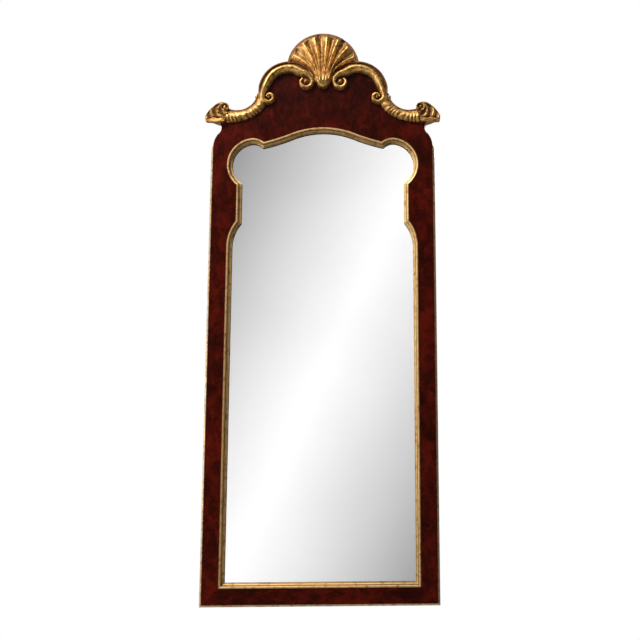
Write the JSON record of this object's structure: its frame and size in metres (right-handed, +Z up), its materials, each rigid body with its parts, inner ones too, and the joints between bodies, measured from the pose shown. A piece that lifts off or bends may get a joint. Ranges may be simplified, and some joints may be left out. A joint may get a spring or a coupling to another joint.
{
  "type": "wall mirror",
  "caption": "Tall wall mirror: veneered frame, gilt moulding round a shaped plate, carved shell and scroll crest, ring hangers behind.",
  "frame": {"origin": "on the wall plane, on the mirror's centre line, at mid-height of the visible plate", "axes": "+Z up along the frame, +Y into the wall, +X to the viewer's right, so the front faces -Y"},
  "size_m": [0.604, 0.0575, 1.435],
  "materials": {
    "burr_mahogany": "polished burr veneer, shellac",
    "pine": "planed softwood, aged",
    "backboard_pine": "thin softwood board, aged",
    "giltwood": "water gilding over red clay, rubbed",
    "gilt_carving": "carved and gilded, darker in the hollows",
    "clear_glass": "clear plate, 4 mm",
    "silvering": "silvered layer with a painted back",
    "hanger_steel": "plated",
    "iron": "dark, cut nails"
  },
  "bodies": {
    "mirror": {"carcass_bottom_rail": "pine", "carcass_right_stile": "pine", "carcass_left_stile": "pine", "carcass_crest_board": "pine", "glazing_blocks": "pine", "backboard": "backboard_pine", "veneer_bottom_rail": "burr_mahogany", "veneer_right_stile": "burr_mahogany", "veneer_left_stile": "burr_mahogany", "veneer_crest_right": "burr_mahogany", "veneer_crest_left": "burr_mahogany", "edge_strip_right": "giltwood", "edge_strip_left": "giltwood", "edge_strip_bottom": "giltwood", "sight_moulding_bottom": "giltwood", "sight_moulding_right_side": "giltwood", "sight_moulding_left_side": "giltwood", "sight_moulding_right_neck": "giltwood", "sight_moulding_left_neck": "giltwood", "sight_moulding_right_lobe": "giltwood", "sight_moulding_left_lobe": "giltwood", "sight_moulding_arch": "giltwood", "crest_shell": "gilt_carving", "c_scroll_right": "gilt_carving", "c_scroll_left": "gilt_carving", "leaf_scroll_right": "gilt_carving", "leaf_scroll_left": "gilt_carving", "ear_leaf_right": "gilt_carving", "ear_leaf_left": "gilt_carving", "mirror_glass": "clear_glass", "mirror_silvering": "silvering", "hanger_strap_right": "hanger_steel", "hanger_strap_left": "hanger_steel", "hanger_screws": "hanger_steel", "backboard_nails": "iron"},
    "right_ring": {"hanging_ring_right": "hanger_steel"},
    "left_ring": {"hanging_ring_left": "hanger_steel"}
  },
  "joints": [
    {"name": "right_ring_swing", "type": "hinge", "parent": "mirror", "child": "right_ring", "pos_m": [0.14, -0.0032, 0.653], "axis": [1, 0, 0], "range_deg": [0, 180]},
    {"name": "left_ring_swing", "type": "hinge", "parent": "mirror", "child": "left_ring", "pos_m": [-0.14, -0.0032, 0.653], "axis": [1, 0, 0], "range_deg": [0, 180]}
  ]
}
